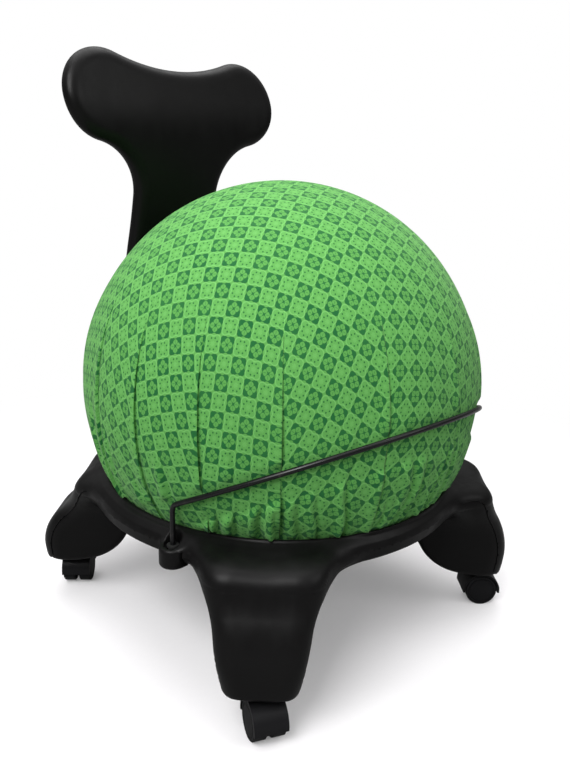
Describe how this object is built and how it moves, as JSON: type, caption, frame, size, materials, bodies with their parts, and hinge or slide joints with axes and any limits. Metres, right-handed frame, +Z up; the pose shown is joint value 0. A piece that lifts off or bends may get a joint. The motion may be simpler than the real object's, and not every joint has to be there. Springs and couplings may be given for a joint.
{
  "type": "exercise ball chair",
  "caption": "Exercise ball in a gathered fabric cover, held in a four-legged dish base on twin-wheel casters by a front bar, with a two-lobed backrest.",
  "frame": {"origin": "on the floor, at the middle of the four-legged base", "axes": "+Z up, the sitter faces -Y, the backrest is at +Y"},
  "size_m": [0.5239, 0.5729, 0.763],
  "materials": {
    "base_plastic": "satin, moulded",
    "backrest_plastic": "satin, moulded",
    "black_steel": "black oxide",
    "zinc_steel": "zinc plated",
    "bar_steel": "gloss black coating",
    "insert_brass": "turned",
    "bush_rubber": "matte",
    "ball_rubber": "matte",
    "plug_plastic": "gloss",
    "cover_fabric": "printed cotton, gathered",
    "cord_elastic": "braided elastic",
    "socket_plastic": "matte",
    "caster_plastic": "satin",
    "wheel_plastic": "matte"
  },
  "bodies": {
    "base": {"base_upper_shell": "base_plastic", "base_lower_shell": "base_plastic", "base_screws": "black_steel", "bar_bushes": "bush_rubber", "backrest_front_shell": "backrest_plastic", "backrest_rear_shell": "backrest_plastic", "backrest_shell_screws": "black_steel", "backrest_bolts": "black_steel", "backrest_washers": "zinc_steel", "backrest_inserts": "insert_brass", "stem_sockets": "socket_plastic", "stem_grip_rings": "zinc_steel", "caster_front_left_stem": "zinc_steel", "caster_front_right_stem": "zinc_steel", "caster_rear_left_stem": "zinc_steel", "caster_rear_right_stem": "zinc_steel"},
    "retaining_bar": {"retaining_bar": "bar_steel"},
    "ball": {"ball_bladder": "ball_rubber", "ball_valve_plug": "plug_plastic", "fabric_cover": "cover_fabric", "cover_hem_cord": "cord_elastic"},
    "caster_front_left": {"caster_front_left_hood": "caster_plastic", "caster_front_left_axle": "zinc_steel"},
    "wheel_front_left_a": {"caster_front_left_wheel_a": "wheel_plastic"},
    "wheel_front_left_b": {"caster_front_left_wheel_b": "wheel_plastic"},
    "caster_front_right": {"caster_front_right_hood": "caster_plastic", "caster_front_right_axle": "zinc_steel"},
    "wheel_front_right_a": {"caster_front_right_wheel_a": "wheel_plastic"},
    "wheel_front_right_b": {"caster_front_right_wheel_b": "wheel_plastic"},
    "caster_rear_left": {"caster_rear_left_hood": "caster_plastic", "caster_rear_left_axle": "zinc_steel"},
    "wheel_rear_left_a": {"caster_rear_left_wheel_a": "wheel_plastic"},
    "wheel_rear_left_b": {"caster_rear_left_wheel_b": "wheel_plastic"},
    "caster_rear_right": {"caster_rear_right_hood": "caster_plastic", "caster_rear_right_axle": "zinc_steel"},
    "wheel_rear_right_a": {"caster_rear_right_wheel_a": "wheel_plastic"},
    "wheel_rear_right_b": {"caster_rear_right_wheel_b": "wheel_plastic"}
  },
  "joints": [
    {"name": "bar_lift", "type": "slide", "parent": "base", "child": "retaining_bar", "axis": [0, 0, 1], "range_m": [0, 0.024]},
    {"name": "ball_lift", "type": "slide", "parent": "retaining_bar", "child": "ball", "axis": [0, 0, 1], "range_m": [0, 0.026]},
    {"name": "swivel_front_left", "type": "hinge", "parent": "base", "child": "caster_front_left", "pos_m": [0.20747, -0.20747, 0.045], "axis": [0, 0, 1], "continuous": true},
    {"name": "spin_front_left_a", "type": "hinge", "parent": "caster_front_left", "child": "wheel_front_left_a", "pos_m": [0.21638, -0.21549, 0.0225], "axis": [0.6691, 0.7431, 0], "continuous": true},
    {"name": "spin_front_left_b", "type": "hinge", "parent": "caster_front_left", "child": "wheel_front_left_b", "pos_m": [0.21638, -0.21549, 0.0225], "axis": [0.6691, 0.7431, 0], "continuous": true},
    {"name": "swivel_front_right", "type": "hinge", "parent": "base", "child": "caster_front_right", "pos_m": [-0.20747, -0.20747, 0.045], "axis": [0, 0, 1], "continuous": true},
    {"name": "spin_front_right_a", "type": "hinge", "parent": "caster_front_right", "child": "wheel_front_right_a", "pos_m": [-0.21215, -0.21851, 0.0225], "axis": [0.9205, -0.3907, 0], "continuous": true},
    {"name": "spin_front_right_b", "type": "hinge", "parent": "caster_front_right", "child": "wheel_front_right_b", "pos_m": [-0.21215, -0.21851, 0.0225], "axis": [0.9205, -0.3907, 0], "continuous": true},
    {"name": "swivel_rear_left", "type": "hinge", "parent": "base", "child": "caster_rear_left", "pos_m": [0.20747, 0.20747, 0.045], "axis": [0, 0, 1], "continuous": true},
    {"name": "spin_rear_left_a", "type": "hinge", "parent": "caster_rear_left", "child": "wheel_rear_left_a", "pos_m": [0.21729, 0.21435, 0.0225], "axis": [-0.5736, 0.8192, 0], "continuous": true},
    {"name": "spin_rear_left_b", "type": "hinge", "parent": "caster_rear_left", "child": "wheel_rear_left_b", "pos_m": [0.21729, 0.21435, 0.0225], "axis": [-0.5736, 0.8192, 0], "continuous": true},
    {"name": "swivel_rear_right", "type": "hinge", "parent": "base", "child": "caster_rear_right", "pos_m": [-0.20747, 0.20747, 0.045], "axis": [0, 0, 1], "continuous": true},
    {"name": "spin_rear_right_a", "type": "hinge", "parent": "caster_rear_right", "child": "wheel_rear_right_a", "pos_m": [-0.19959, 0.21652, 0.0225], "axis": [-0.7547, 0.6561, 0], "continuous": true},
    {"name": "spin_rear_right_b", "type": "hinge", "parent": "caster_rear_right", "child": "wheel_rear_right_b", "pos_m": [-0.19959, 0.21652, 0.0225], "axis": [-0.7547, 0.6561, 0], "continuous": true}
  ]
}
